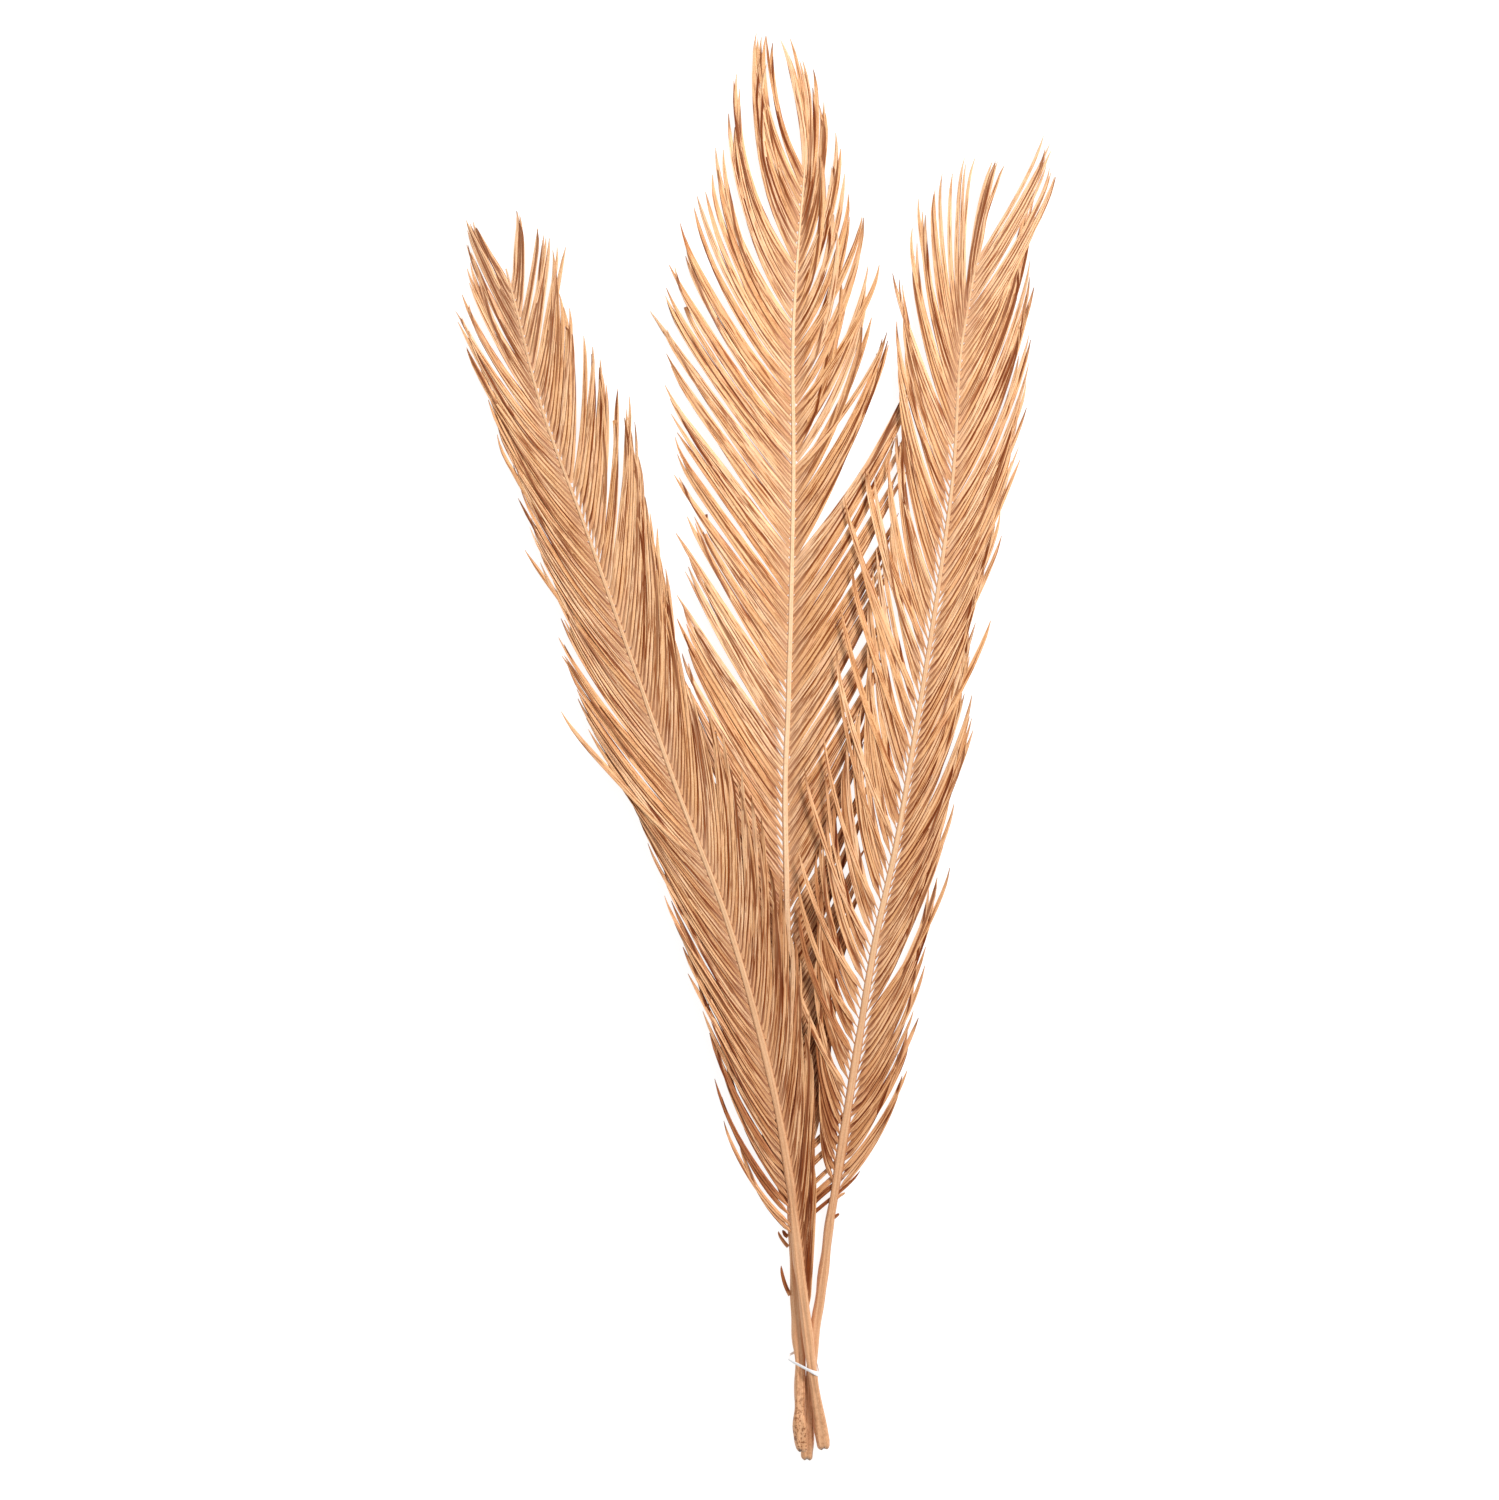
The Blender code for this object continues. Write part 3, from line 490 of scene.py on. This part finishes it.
def leaflet_lines(row, side, stem, share, rng):
    """The row's leaflet centre lines, from the stem to the tips, with each leaflet's length."""
    count = row["count"]
    distance, base, tip, length = leaflet_growth(row, stem, share, rng)
    rings = np.array(BLADE_RINGS)
    fine = np.linspace(0, 1, LINE_POINTS)
    hook = rng.normal(*HOOK, count)
    angle = np.radians(tip[:, None] + (base - tip)[:, None] * (1 - fine) ** BASE_CURL
                       + hook[:, None] * np.clip((fine - HOOK_FROM) / (1 - HOOK_FROM), 0, 1) ** 2)
    step = length[:, None] / (LINE_POINTS - 1)
    start = np.zeros((count, 1))
    forward = np.concatenate([start, np.cumsum(step * np.cos(angle[:, 1:]), axis=1)], axis=1)
    spread = np.concatenate([start, np.cumsum(step * np.sin(angle[:, 1:]), axis=1)], axis=1)
    swing = rng.uniform(0, 2 * math.pi, (count, 1)) + fine * rng.uniform(*SWAY_RUN, (count, 1))
    spread += SWAY * rng.normal(0, 1, (count, 1)) * np.sin(swing) * np.clip(fine / SWAY_FROM, 0, 1)
    forward = np.stack([np.interp(rings, fine, line) for line in forward])
    spread = np.stack([np.interp(rings, fine, line) for line in spread])

    heading = stem.heading(distance)
    outward = side * np.stack([-heading[:, 1], heading[:, 0]], axis=1)
    radius = stem.radius(distance)[:, None]
    level = (stem.at(distance)[:, None, :2] + forward[..., None] * heading[:, None]
             + (spread + ROOT_OUT * radius)[..., None] * outward[:, None])
    margin = WAVE_SPAN - 1
    wave = np.convolve(rng.normal(0, 1, count + 2 * margin), np.ones(WAVE_SPAN) / WAVE_SPAN, "same")
    layer = WAVE_HEIGHT * wave[margin:-margin] + HEIGHT_VARIES * rng.normal(0, 1, count)
    layer[[int(place * count) for place, _, _ in row["strays"]]] += STRAY_RISE
    height = (stem.at(distance[:, None] + forward)[..., 2] + ROOT_UP * radius * (1 - rings)
              + row["rise"] * np.abs(spread) - row["droop"] * spread ** 2 + MM * layer[:, None] * rings)
    return np.concatenate([level, height[..., None]], axis=2), length


def spacing_to_next(path):
    """How far each point of a leaflet's line lies, seen from above, from the next leaflet's line."""
    level = path[..., :2]
    point, start = level[:-1, :, None], level[1:, None, :-1]
    run = np.diff(level[1:], axis=1)[:, None]
    share = np.clip(((point - start) * run).sum(-1) / (run ** 2).sum(-1), 0, 1)
    gap = np.linalg.norm(start + share[..., None] * run - point, axis=-1).min(axis=2)
    return np.concatenate([gap, np.full_like(gap[:1], UNCOVERED)])


def blade_directions(path, side, share, rng):
    """The directions across each blade, to its upper edge, and out of its upper side."""
    rings = np.array(BLADE_RINGS)
    count = len(share)
    _, right, top = path_directions(path)
    upper = side * right
    flat = profile(TILT_IN_ROW, share)[:, None]
    tilt = np.radians(SHINGLE_TILT + TILT_VARIES * rng.normal(0, 1, count))[:, None]
    tilt = tilt * profile(TILT_ALONG, rings) * flat
    twist = np.radians(TWIST_VARIES * rng.normal(0, 1, count))[:, None] * flat
    turn = (twist * rings ** 3 - tilt)[..., None]
    return upper * np.cos(turn) + top * np.sin(turn), top * np.cos(turn) - upper * np.sin(turn)


def blade_widths(row, share, rng):
    """How wide each leaflet is at its widest and at each of its rings."""
    rings = np.array(BLADE_RINGS)
    count = len(share)
    widest = row["width"] * MM * profile(ROW_WIDTHS, share)
    widest *= 1 + WIDTH_VARIES * rng.normal(0, 1, count)
    widest[:len(row["stubs"])] *= STUB_WIDTH
    neck = np.ones(count)
    for first, last, narrow in row["open"]:
        neck[(share > first) & (share < last)] = narrow
    neck = neck * (1 + NECK_VARIES * rng.normal(0, 1, count))
    taper = profile(BLADE_WIDTHS, rings) * (1 - (1 - neck)[:, None] * profile(NECK_STRETCH, rings))
    width = widest[:, None] * taper
    broken = list(row["broken"])
    width[broken] = np.maximum(width[broken], widest[broken, None] * profile(BROKEN_WIDTHS, rings))
    return widest[:, None], width


def leaflet_row(frond, side, stem, shift):
    """The row's leaflets as folded, tapering blades that lean in clumps and overlap like shingles."""
    row = ROWS[frond, side]
    rng = np.random.default_rng(row["seed"])
    count = row["count"]
    rings = np.array(BLADE_RINGS)
    share = (np.arange(count) + 0.5) / count
    path, length = leaflet_lines(row, side, stem, share, rng)
    path[..., 2] = np.maximum(path[..., 2], LOWEST_LINE - shift[2])
    upper, top = blade_directions(path, side, share, rng)
    widest, width = blade_widths(row, share, rng)
    section = np.array(BLADE_SECTION)
    arch = BLADE_ARCH * (1 + ARCH_VARIES * rng.normal(0, 1, count))
    across = width[..., None] / 2 * section[:, 0]
    lift = (profile(BLADE_THICKNESS, rings)[None, :, None] * section[:, 1] * MM
            + arch[:, None, None] * section[:, 0] ** 2 * (width / widest)[..., None])
    points = path[:, :, None] + across[..., None] * upper[:, :, None] + lift[..., None] * top[:, :, None]
    points += shift
    points[..., 2] = np.maximum(points[..., 2], FLOOR_GAP)

    # painted shade: each leaflet gets its own strength of the painted shade in its grooves, and each point its
    # distance, seen from above, from the next leaflet's edge (mm), near which that shade is painted
    tone, groove = rng.uniform(0, 1, count), rng.uniform(0, 1, count) ** GROOVE_POWER
    groove[:len(row["stubs"])] = 0
    if frond in PALE_TOPS:
        pale = profile(PALE_FROM, share)
        tone, groove = np.maximum(tone, PALE_TONE * pale), groove * (1 - PALE_GROOVE * pale)
    values = {
        "across": section[None, None, :, 0],
        "along": (rings[None, :] * length[:, None])[..., None],
        "share": rings[None, :, None],
        "tone": tone[:, None, None],
        "low": profile(LOW_IN_ROW, share)[:, None, None],
        "groove": groove[:, None, None],
        "number": np.arange(count, dtype=float)[:, None, None],
        "edge_gap": (spacing_to_next(path) - width / 2)[..., None] / MM - across / MM,
    }
    name = f"{frond}_leaflets_{'left' if side == LEFT else 'right'}"
    return add_lofts(name, points, values, side == LEFT, LEAFLET_MAP_COLUMNS)


# ---------------------------------------------------------------- stems
def stem_knots(rng):
    """Soft bumps over a stem's surface, a number for each of its points."""
    knots = rng.normal(0, 1, (STEM_RINGS // KNOT_RINGS, STEM_PLACES // KNOT_PLACES))
    knots = np.repeat(np.repeat(knots, KNOT_PLACES, axis=1), KNOT_RINGS, axis=0)
    moves = [(a, b) for a in range(-KNOT_BLUR_RINGS, KNOT_BLUR_RINGS + 1)
             for b in range(-KNOT_BLUR_PLACES, KNOT_BLUR_PLACES + 1)]
    for _ in range(2):
        knots = sum(np.roll(np.roll(knots, a, axis=0), b, axis=1) for a, b in moves) / len(moves)
    return KNOT_HEIGHT * knots


def stem_piece(frond, stem, shift):
    """The stalk and midrib: a groove and two ridges on its upper side, a bumpy stalk, and a torn cut end that
    flares a little."""
    rng = np.random.default_rng(STEM_SEEDS[frond])
    distance = stem.length * np.linspace(0, 1, STEM_RINGS) ** RING_CROWDING
    centre = stem.at(distance)
    if frond == "middle":
        centre[:, 0] += MM * profile(MIDDLE_STEM_NUDGE, distance)
    along, aside, top = path_directions(centre)
    angle = np.linspace(0, 2 * math.pi, STEM_PLACES, endpoint=False) + math.pi / STEM_PLACES
    from_top = np.abs((angle - math.pi / 2 + math.pi) % (2 * math.pi) - math.pi)
    groove = np.exp(-(from_top / GROOVE_SPREAD) ** 2)
    ridge = np.exp(-((from_top - RIDGE_AT) / RIDGE_SPREAD) ** 2)
    leafy = np.clip((distance - LEAFY_FROM) / LEAFY_OVER, 0, 1)[:, None]
    shape = 1 + RIDGE_HEIGHT * ridge[None] - GROOVE_DEPTH * groove[None] * (1 - MIDRIB_FILLED * leafy)
    shape = shape + STEM_VARIES * rng.normal(0, 1, (1, STEM_PLACES))
    shape += np.interp(distance, ROUGHNESS_AT, STEM_ROUGHNESS[frond])[:, None] * stem_knots(rng)
    end = np.clip(distance / END_OVER, 0, 1)
    rounding = np.sqrt(1 - (1 - end) ** 2 * END_ROUNDING)[:, None]
    radius = (stem.radius(distance) * profile(STEM_WIDTHS[frond], distance))[:, None]
    across = radius * shape * np.cos(angle) * rounding
    upward = radius * shape * np.sin(angle) * rounding * (1 - MIDRIB_FLATTER * leafy)
    points = centre[:, None] + across[..., None] * aside[:, None] + upward[..., None] * top[:, None]
    # the cut is torn, not level
    slant = END_SLANT * np.interp(distance, (0, SLANT_OVER), (1, 0))[:, None]
    splinters = SPLINTERS * np.interp(distance, (0, SPLINTERS_OVER), (1, 0))[:, None]
    torn = slant * np.cos(2 * angle + rng.uniform(0, 6))
    torn = torn + splinters * rng.normal(0, 1, (1, STEM_PLACES))
    points += np.maximum(torn, DEEPEST_TEAR)[..., None] * along[:, None]
    points = (points + shift)[None]
    points[..., 2] = np.maximum(points[..., 2], STEM_FLOOR_GAP)
    values = {
        "around": from_top[None, None, :],
        "along": distance[None, :, None],
        "groove": groove[None, None, :],
        "leafy": leafy[None],
        "cut": np.exp(-distance / CUT_STAIN)[None, :, None],
    }
    return add_lofts(f"{frond}_stem", points, values, False, 1)


# ---------------------------------------------------------------- the band
def stem_at_y(stem, y):
    distance = float(np.interp(y, stem.curve[:, 1], stem.run))
    return stem.at(distance), float(stem.radius(distance))


def tie_piece(stems, shift):
    """A flat elastic band pulled tight around the three stems, with a slack loop at the left."""
    level = [stem_at_y(stem, TIE_AT_Y)[0][0] for stem in stems.values()]
    middle_x = sum(level) / len(level)
    found = [stem_at_y(stem, TIE_AT_Y + TIE_SLOPE * (x - middle_x)) for stem, x in zip(stems.values(), level)]
    section = [(TIE_SECTION_SHIFT + TIE_HALF_THICKNESS * math.cos(a), math.sin(a))
               for a in np.linspace(0, 2 * math.pi, TIE_PLACES, endpoint=False)]
    rings = []
    for angle in np.linspace(0, 2 * math.pi, TIE_RINGS, endpoint=False):
        way = np.array([math.cos(angle), math.sin(angle)])
        centre, radius = max(found, key=lambda held: held[0][[0, 2]] @ way + held[1])
        slack = TIE_SLACK * math.exp(-((angle - TIE_SLACK_AT) / TIE_SLACK_OVER) ** 2)
        behind = max(0.0, -math.sin(angle - TIE_BACK_FROM)) ** TIE_BACK_POWER
        half_width = TIE_HALF_WIDTH + TIE_WIDTH_CHANGE * math.cos(angle)
        ring = []
        for out, side in section:
            x, z = centre[[0, 2]] + (radius * TIE_RADIUS_SHARE + TIE_OFF_STEM + out * MM + slack) * way
            y = TIE_AT_Y + TIE_SLOPE * (x - middle_x) + (side * half_width + TIE_BACK_UP * behind) * MM
            ring.append((x, y, max(z, FLOOR_GAP - shift[2])))
        rings.append(ring)
    rings.append(rings[0])
    points = (np.array(rings) + shift)[None]
    return add_lofts("tie_band", points, {"along": np.linspace(0, 1, len(rings))[None, :, None]}, False, 1)


# ---------------------------------------------------------------- materials
class Graph:
    """A material's nodes, made in short calls."""

    def __init__(self, name):
        self.material = bpy.data.materials.new(name)
        self.material.use_nodes = True
        self.tree = self.material.node_tree
        self.shader = self.tree.nodes["Principled BSDF"]

    def put(self, socket, value):
        if isinstance(value, bpy.types.NodeSocket):
            self.tree.links.new(value, socket)
        else:
            socket.default_value = value

    def math(self, operation, first, second=0.0, clamp=False):
        node = self.tree.nodes.new("ShaderNodeMath")
        node.operation, node.use_clamp = operation, clamp
        self.put(node.inputs[0], first)
        self.put(node.inputs[1], second)
        return node.outputs[0]

    def times(self, first, *others):
        for other in others:
            first = self.math("MULTIPLY", first, other)
        return first

    def plus(self, first, *others):
        for other in others:
            first = self.math("ADD", first, other)
        return first

    def value(self, name):
        node = self.tree.nodes.new("ShaderNodeAttribute")
        node.attribute_name = name
        return node.outputs["Fac"]

    def vector(self, x, y, z):
        node = self.tree.nodes.new("ShaderNodeCombineXYZ")
        for socket, value in zip(node.inputs, (x, y, z)):
            self.put(socket, value)
        return node.outputs[0]

    def place(self):
        return self.tree.nodes.new("ShaderNodeTexCoord").outputs["Object"]

    def noise(self, at, scale, detail=3.0, roughness=0.55):
        node = self.tree.nodes.new("ShaderNodeTexNoise")
        self.put(node.inputs["Vector"], at)
        node.inputs["Scale"].default_value = scale
        node.inputs["Detail"].default_value = detail
        node.inputs["Roughness"].default_value = roughness
        return node.outputs["Fac"]

    def grain(self, across, along, own, scales, detail, roughness=0.6):
        """Noise that is stretched along the piece, with its own pattern for each value of own."""
        at = self.vector(self.times(across, scales[0]), self.times(along, scales[1]), own)
        return self.noise(at, 1.0, detail, roughness)

    def ramp(self, share, *stops):
        node = self.tree.nodes.new("ShaderNodeValToRGB")
        ramp = node.color_ramp
        for at, _ in stops[2:]:
            ramp.elements.new(at)
        for element, (at, colour) in zip(ramp.elements, stops):
            element.position, element.color = at, (*colour, 1)
        self.put(node.inputs["Fac"], share)
        return node.outputs["Color"]

    def between(self, value, low, high, to_low=0.0, to_high=1.0):
        """The value's place between low and high, eased, as a number from to_low to to_high."""
        node = self.tree.nodes.new("ShaderNodeMapRange")
        node.interpolation_type = "SMOOTHSTEP"
        for socket, given in zip(node.inputs, (value, low, high, to_low, to_high)):
            self.put(socket, given)
        return node.outputs[0]

    def mix(self, share, first, second, blend="MIX"):
        node = self.tree.nodes.new("ShaderNodeMix")
        node.data_type, node.blend_type = "RGBA", blend
        self.put(node.inputs[0], share)
        for socket, value in zip(node.inputs[6:8], (first, second)):
            self.put(socket, (*value, 1) if isinstance(value, tuple) else value)
        return node.outputs[2]

    def dim(self, share, colour, by):
        """The colour, multiplied by another one where the share says so."""
        return self.mix(share, colour, self.mix(1.0, colour, by, "MULTIPLY"))

    def bump(self, height, distance, strength):
        node = self.tree.nodes.new("ShaderNodeBump")
        node.inputs["Strength"].default_value = strength
        node.inputs["Distance"].default_value = distance
        self.put(node.inputs["Height"], height)
        return node.outputs[0]

    def surface(self, **values):
        for name, value in values.items():
            self.put(self.shader.inputs[name.replace("_", " ")], value)
        return self.material


def leaflet_material(name, seed):
    """Copper paint over fibres, with painted shade in the grooves, along the fold and near the stalk, where
    some leaflets also lack paint.
    """
    g = Graph(name)
    across, along, share, low = g.value("across"), g.value("along"), g.value("share"), g.value("low")
    tone, groove, edge_gap, number = g.value("tone"), g.value("groove"), g.value("edge_gap"), g.value("number")
    own = g.plus(g.times(number, PATTERN_STEP), seed)
    fibres = g.grain(across, along, own, (5.0, 45.0), 4.0)
    patches = g.grain(across, along, own, (0.6, 60.0), 3.0)
    lines = g.grain(across, along, own, (9.0, 20.0), 2.0, 0.55)
    streaks = g.grain(across, along, own, (2.6, 30.0), 2.0)
    specks = g.noise(g.place(), 900.0, 4.0, 0.7)
    light = g.plus(g.times(tone, 0.22), g.times(fibres, 0.60), g.times(specks, 0.40))
    colour = g.ramp(light, *LEAFLET_TONES)
    colour = g.mix(g.between(patches, 0.48, 0.72, 0.0, 0.5), colour, ROSY_PAINT)
    # painted shade: dark dashes along the leaflets, like the shade lines in the grooves between them
    away = g.math("MAXIMUM", g.between(share, 0.04, 0.20, 0.75, 1.0), low)
    colour = g.mix(g.times(g.between(streaks, 0.54, 0.62, 0.0, 0.9), away), colour, STREAK_SHADE_BROWN)
    # painted shade: a dark line along the edge of the next leaflet, which lies over this one
    wander = g.times(g.math("SUBTRACT", lines, 0.5), 1.3)
    edge_gap = g.plus(edge_gap, wander)
    in_groove = g.times(g.between(edge_gap, 1.00, 0.30), g.between(edge_gap, -1.7, -0.8), away)
    groove_shade = g.math("MULTIPLY", in_groove, g.plus(g.times(groove, 0.50), 0.70), clamp=True)
    colour = g.mix(groove_shade, colour, GROOVE_SHADE_BROWN)
    # painted shade: a dark line along the fold, which wanders a little from leaflet to leaflet
    from_fold = g.math("ABSOLUTE", g.plus(across, g.math("SUBTRACT", g.times(tone, 0.5), 0.2)))
    fold = g.times(g.between(from_fold, 0.26, 0.08), g.between(patches, 0.60, 0.42),
                   g.between(share, 0.6, 0.95, 1.0, 0.3), g.times(away, 0.8))
    colour = g.mix(fold, colour, FOLD_SHADE_BROWN)
    dark_tip = g.times(g.between(share, 0.86, 1.0), g.between(groove, 0.45, 0.85))
    colour = g.mix(dark_tip, colour, TIP_BROWN)
    colour = g.mix(g.between(share, 0.16, 0.02, 0.0, 0.3), colour, BASE_TAN)
    # painted shade: the lowest leaflets, near the stalk, are darker, and some of them much darker, partly
    # painted shade and partly paint that is missing
    colour = g.dim(g.times(low, 0.85), colour, LOW_SHADE_DIM)
    colour = g.dim(g.between(g.noise(g.place(), 24.0, 2.0), 0.52, 0.68, 0.0, 0.42), colour, WORN_DIM)
    # partly painted shade and partly missing paint: some leaflets near the stalk are much darker
    unpainted_and_shaded = g.times(low, g.between(tone, 0.42, 0.22), g.between(share, 0.05, 0.2))
    colour = g.dim(g.times(unpainted_and_shaded, 0.9), colour, UNPAINTED_AND_SHADE_DIM)
    height = g.plus(g.times(lines, 0.7), g.times(specks, 0.3))
    return g.surface(Base_Color=colour, Roughness=g.between(specks, 0.3, 0.7, 0.38, 0.52), Metallic=METALLIC,
                     Specular_IOR_Level=0.18, Normal=g.bump(height, 0.35 * MM, 0.9))


def stem_material(name, rough_butt, bare_rib):
    """A brown stalk that turns into a pale midrib, with lengthwise fibres and a scaly, stained cut end."""
    g = Graph(name)
    around, along, groove = g.value("around"), g.value("along"), g.value("groove")
    leafy, cut = g.value("leafy"), g.value("cut")
    fibres = g.grain(around, along, 0.0, (5.0, 30.0), 4.0)
    lines = g.grain(around, along, 3.0, (7.0, 14.0), 3.0)
    blots = g.noise(g.place(), 420.0, 4.0, 0.65)
    specks = g.noise(g.place(), 800.0, 4.0, 0.7)
    light = g.plus(g.times(fibres, 0.6), g.times(specks, 0.4))
    rib = g.ramp(light, *RIB_TONES)
    rib = g.mix(g.between(lines, 0.35, 0.60, 0.4 * bare_rib, bare_rib), rib, WORN_RIB)
    colour = g.mix(g.between(along, 0.18, 0.42), g.ramp(light, *STALK_TONES), rib)
    colour = g.mix(g.between(blots, 0.52, 0.68, 0.0, 0.4), colour, BLOT_BROWN)
    dark_lines = g.times(g.between(lines, 0.56, 0.66), g.between(along, 0.4, 0.15, 0.1, 0.7))
    colour = g.mix(dark_lines, colour, LINE_BROWN)
    # painted shade: the midrib's flanks are darker than its top
    colour = g.mix(g.times(g.between(around, 0.85, 1.2, 0.0, 0.8), leafy), colour, FLANK_SHADE_BROWN)
    # painted shade in the groove on top, stronger on the stalk than on the midrib
    colour = g.mix(g.times(groove, g.between(leafy, 0.0, 1.0, 0.30, 0.1)), colour, RIB_GROOVE_SHADE)
    scales = g.times(g.between(blots, 0.50, 0.58), g.between(along, 0.07, 0.01), rough_butt)
    colour = g.mix(scales, colour, SCALE_BROWN)
    colour = g.mix(g.times(cut, 0.85), colour, CUT_BROWN)
    height = g.plus(g.times(fibres, 0.7), g.times(specks, 0.3))
    return g.surface(Base_Color=colour, Roughness=g.between(specks, 0.3, 0.7, 0.40, 0.55), Metallic=METALLIC,
                     Specular_IOR_Level=0.25, Normal=g.bump(height, 0.4 * MM, 0.9))


def tie_material(name):
    """White elastic with fine ribs across it."""
    g = Graph(name)
    weave = g.noise(g.vector(g.times(g.value("along"), 160.0), 0.0, 0.0), 1.0, 1.0)
    colour = g.mix(weave, BAND_SHADE, BAND_WHITE)
    return g.surface(Base_Color=colour, Roughness=0.6, Normal=g.bump(weave, 0.2 * MM, 0.6))


# ---------------------------------------------------------------- the bunch
stems = {frond: Stem(rows) for frond, rows in STEM_ROUTES.items()}


def cad_shift():
    """How far the CAD frame lies from the routes: its left stem's cut end against the route's first point."""
    points = np.array([v.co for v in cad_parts["left_frond_stem"].data.vertices])
    low = points[:, 1].min()
    butt = points[points[:, 1] < low + BUTT_LENGTH]
    centre = (butt.min(axis=0) + butt.max(axis=0)) / 2
    return centre - stems["left"].at(0.0)


shift = cad_shift()
for (frond, side), row in ROWS.items():
    piece = leaflet_row(frond, side, stems[frond], shift)
    piece.data.materials.append(leaflet_material(f"{piece.name}_paint", row["seed"] * ROW_PATTERN_STEP))
    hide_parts(f"{frond}_frond_leaflets_{'left' if side == LEFT else 'right'}")
    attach(piece, "root")
for frond, stem in stems.items():
    piece = stem_piece(frond, stem, shift)
    piece.data.materials.append(stem_material(f"{piece.name}_paint", *STEM_PAINT[frond]))
    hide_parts(f"{frond}_frond_stem")
    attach(piece, "root")
tie = tie_piece(stems, shift)
tie.name = "tie_band_white"
tie.data.materials.append(tie_material("tie_white_elastic"))
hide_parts("tie_band")
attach(tie, "root")


# ---------------------------------------------------------------- floor, light and camera
def add_floor():
    """A pale, softly glowing floor, so that the background is almost white as in the photo."""
    mesh = bpy.data.meshes.new("floor")
    reach = FLOOR_REACH
    mesh.from_pydata([(-reach, -reach, 0), (reach, -reach, 0), (reach, reach, 0), (-reach, reach, 0)], [],
                     [(0, 1, 2, 3)])
    floor = bpy.data.objects.new("floor", mesh)
    bpy.context.scene.collection.objects.link(floor)
    g = Graph("floor_white")
    colour = g.mix(g.noise(g.place(), 40.0, 2.0), FLOOR_DARKER, FLOOR_LIGHTER)
    mesh.materials.append(g.surface(Base_Color=colour, Roughness=0.9, Emission_Color=(1, 1, 1, 1),
                                    Emission_Strength=FLOOR_GLOW))


def add_light(name, place, aim, size, energy):
    data = bpy.data.lights.new(name, "AREA")
    data.size, data.energy = size, energy
    light = bpy.data.objects.new(name, data)
    light.location = place
    light.rotation_euler = (Vector(aim) - Vector(place)).to_track_quat("-Z", "Y").to_euler()
    bpy.context.scene.collection.objects.link(light)


add_floor()
world = bpy.data.worlds.new("studio")
world.use_nodes = True
world.node_tree.nodes["Background"].inputs["Color"].default_value = (1, 1, 1, 1)
world.node_tree.nodes["Background"].inputs["Strength"].default_value = SKY_STRENGTH
bpy.context.scene.world = world
add_light("key", KEY_PLACE, (0, 0, 0), KEY_SIZE, KEY_ENERGY)

camera_data = bpy.data.cameras.new("camera")
camera_data.sensor_width = SENSOR_WIDTH
camera_data.lens = SENSOR_WIDTH * (CAMERA_HEIGHT - PICTURE_PLANE) / PICTURE_WIDTH
camera = bpy.data.objects.new("camera", camera_data)
camera.location = (shift[0], shift[1], CAMERA_HEIGHT)
bpy.context.scene.collection.objects.link(camera)
bpy.context.scene.camera = camera
bpy.context.scene.view_settings.view_transform = "Standard"
